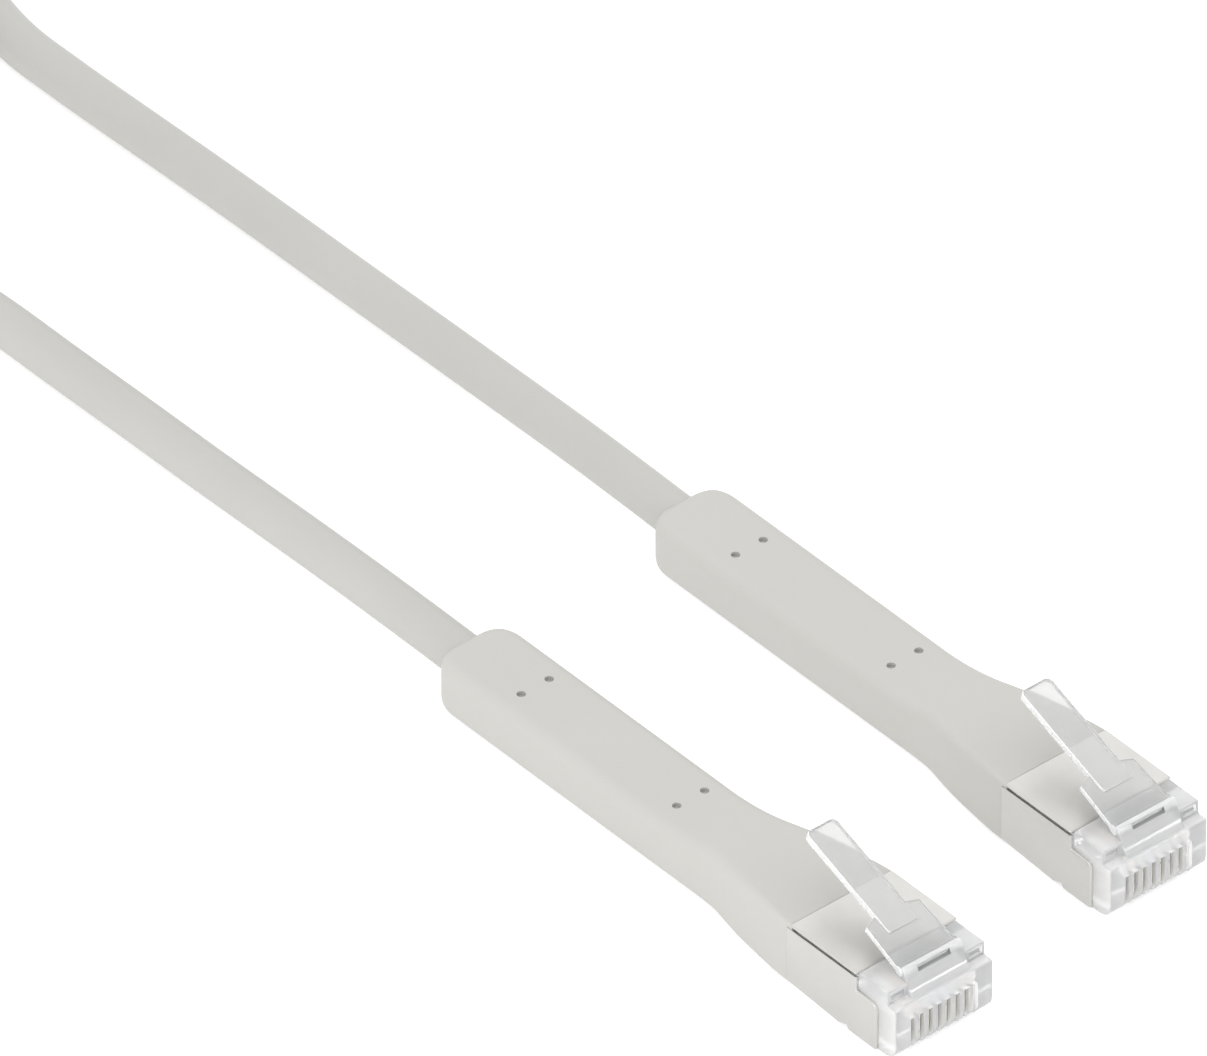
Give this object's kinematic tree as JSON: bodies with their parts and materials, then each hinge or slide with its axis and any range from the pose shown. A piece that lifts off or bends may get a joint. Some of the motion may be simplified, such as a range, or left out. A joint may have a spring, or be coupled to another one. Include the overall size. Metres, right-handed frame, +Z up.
{
  "type": "ethernet patch cable",
  "caption": "Shielded network patch cable: a slim round grey cord, spare length coiled and tied, with long flat strain-relief boots and clear latched plugs.",
  "frame": {"origin": "on the floor, under the middle of the box round the two connectors (boots, plugs and latches, without the free cord)", "axes": "+X from the boots to the plugs' noses, +Z up, the side of the latches; +Y across, from end a to end b"},
  "size_m": [0.2196, 0.0558, 0.0135],
  "materials": {
    "boot": "even satin, pale warm grey, soft moulded edges",
    "jacket": "satin PVC, pale grey",
    "screen": "fine tinned braid, folded back",
    "plated_metal": "bright nickel plating on thin pressed sheet",
    "clear_plastic": "clear, glossy, moulded",
    "white_plastic": "milky, moulded",
    "contacts": "gold plated",
    "orange_wire": "coloured insulation",
    "green_wire": "coloured insulation",
    "blue_wire": "coloured insulation",
    "brown_wire": "coloured insulation",
    "strap": "black nylon strap"
  },
  "bodies": {
    "cable": {"cord_a": "jacket", "cord_b": "jacket", "cord_coil": "jacket", "coil_tie": "strap", "boot_rear_a": "boot", "jacket_rear_a": "jacket", "boot_rear_b": "boot", "jacket_rear_b": "jacket"},
    "bend_1_a": {"boot_link_1_a": "boot", "jacket_link_1_a": "jacket"},
    "bend_2_a": {"boot_link_2_a": "boot", "jacket_link_2_a": "jacket"},
    "bend_3_a": {"boot_link_3_a": "boot", "jacket_link_3_a": "jacket"},
    "plug_a": {"boot_front_a": "boot", "jacket_front_a": "jacket", "screen_collar_a": "screen", "ferrule_a": "plated_metal", "shield_a": "plated_metal", "plug_housing_a": "clear_plastic", "load_bar_a": "white_plastic", "contact_blades_a": "contacts", "orange_pair_a": "orange_wire", "green_pair_a": "green_wire", "blue_pair_a": "blue_wire", "brown_pair_a": "brown_wire"},
    "lever_a": {"latch_a": "clear_plastic"},
    "bend_1_b": {"boot_link_1_b": "boot", "jacket_link_1_b": "jacket"},
    "bend_2_b": {"boot_link_2_b": "boot", "jacket_link_2_b": "jacket"},
    "bend_3_b": {"boot_link_3_b": "boot", "jacket_link_3_b": "jacket"},
    "plug_b": {"boot_front_b": "boot", "jacket_front_b": "jacket", "screen_collar_b": "screen", "ferrule_b": "plated_metal", "shield_b": "plated_metal", "plug_housing_b": "clear_plastic", "load_bar_b": "white_plastic", "contact_blades_b": "contacts", "orange_pair_b": "orange_wire", "green_pair_b": "green_wire", "blue_pair_b": "blue_wire", "brown_pair_b": "brown_wire"},
    "lever_b": {"latch_b": "clear_plastic"}
  },
  "joints": [
    {"name": "boot_bend_1_a", "type": "hinge", "parent": "cable", "child": "bend_1_a", "pos_m": [-0.0167, -0.0134, 0.0028], "axis": [0, -1, 0], "range_deg": [-22.5, 22.5], "stiffness_Nm_per_rad": 0.1},
    {"name": "boot_bend_2_a", "type": "hinge", "parent": "bend_1_a", "child": "bend_2_a", "pos_m": [-0.0097, -0.0134, 0.0028], "axis": [0, -1, 0], "range_deg": [-22.5, 22.5]},
    {"name": "boot_bend_3_a", "type": "hinge", "parent": "bend_2_a", "child": "bend_3_a", "pos_m": [-0.0027, -0.0134, 0.0028], "axis": [0, -1, 0], "range_deg": [-22.5, 22.5]},
    {"name": "boot_bend_4_a", "type": "hinge", "parent": "bend_3_a", "child": "plug_a", "pos_m": [0.0043, -0.0134, 0.0028], "axis": [0, -1, 0], "range_deg": [-22.5, 22.5]},
    {"name": "latch_press_a", "type": "hinge", "parent": "plug_a", "child": "lever_a", "pos_m": [0.0309, -0.0134, 0.0076], "axis": [0, -1, 0], "range_deg": [0, 20], "stiffness_Nm_per_rad": 0.02},
    {"name": "boot_bend_1_b", "type": "hinge", "parent": "cable", "child": "bend_1_b", "pos_m": [-0.0192, 0.0134, 0.0028], "axis": [0, -1, 0], "range_deg": [-22.5, 22.5], "stiffness_Nm_per_rad": 0.1},
    {"name": "boot_bend_2_b", "type": "hinge", "parent": "bend_1_b", "child": "bend_2_b", "pos_m": [-0.0122, 0.0134, 0.0028], "axis": [0, -1, 0], "range_deg": [-22.5, 22.5]},
    {"name": "boot_bend_3_b", "type": "hinge", "parent": "bend_2_b", "child": "bend_3_b", "pos_m": [-0.0052, 0.0134, 0.0028], "axis": [0, -1, 0], "range_deg": [-22.5, 22.5]},
    {"name": "boot_bend_4_b", "type": "hinge", "parent": "bend_3_b", "child": "plug_b", "pos_m": [0.0018, 0.0134, 0.0028], "axis": [0, -1, 0], "range_deg": [-22.5, 22.5]},
    {"name": "latch_press_b", "type": "hinge", "parent": "plug_b", "child": "lever_b", "pos_m": [0.0284, 0.0134, 0.0076], "axis": [0, -1, 0], "range_deg": [0, 20], "stiffness_Nm_per_rad": 0.02}
  ],
  "couplings": [
    {"joint": "boot_bend_2_a", "follows": "boot_bend_1_a", "ratio": 1},
    {"joint": "boot_bend_3_a", "follows": "boot_bend_1_a", "ratio": 1},
    {"joint": "boot_bend_4_a", "follows": "boot_bend_1_a", "ratio": 1},
    {"joint": "boot_bend_2_b", "follows": "boot_bend_1_b", "ratio": 1},
    {"joint": "boot_bend_3_b", "follows": "boot_bend_1_b", "ratio": 1},
    {"joint": "boot_bend_4_b", "follows": "boot_bend_1_b", "ratio": 1}
  ]
}
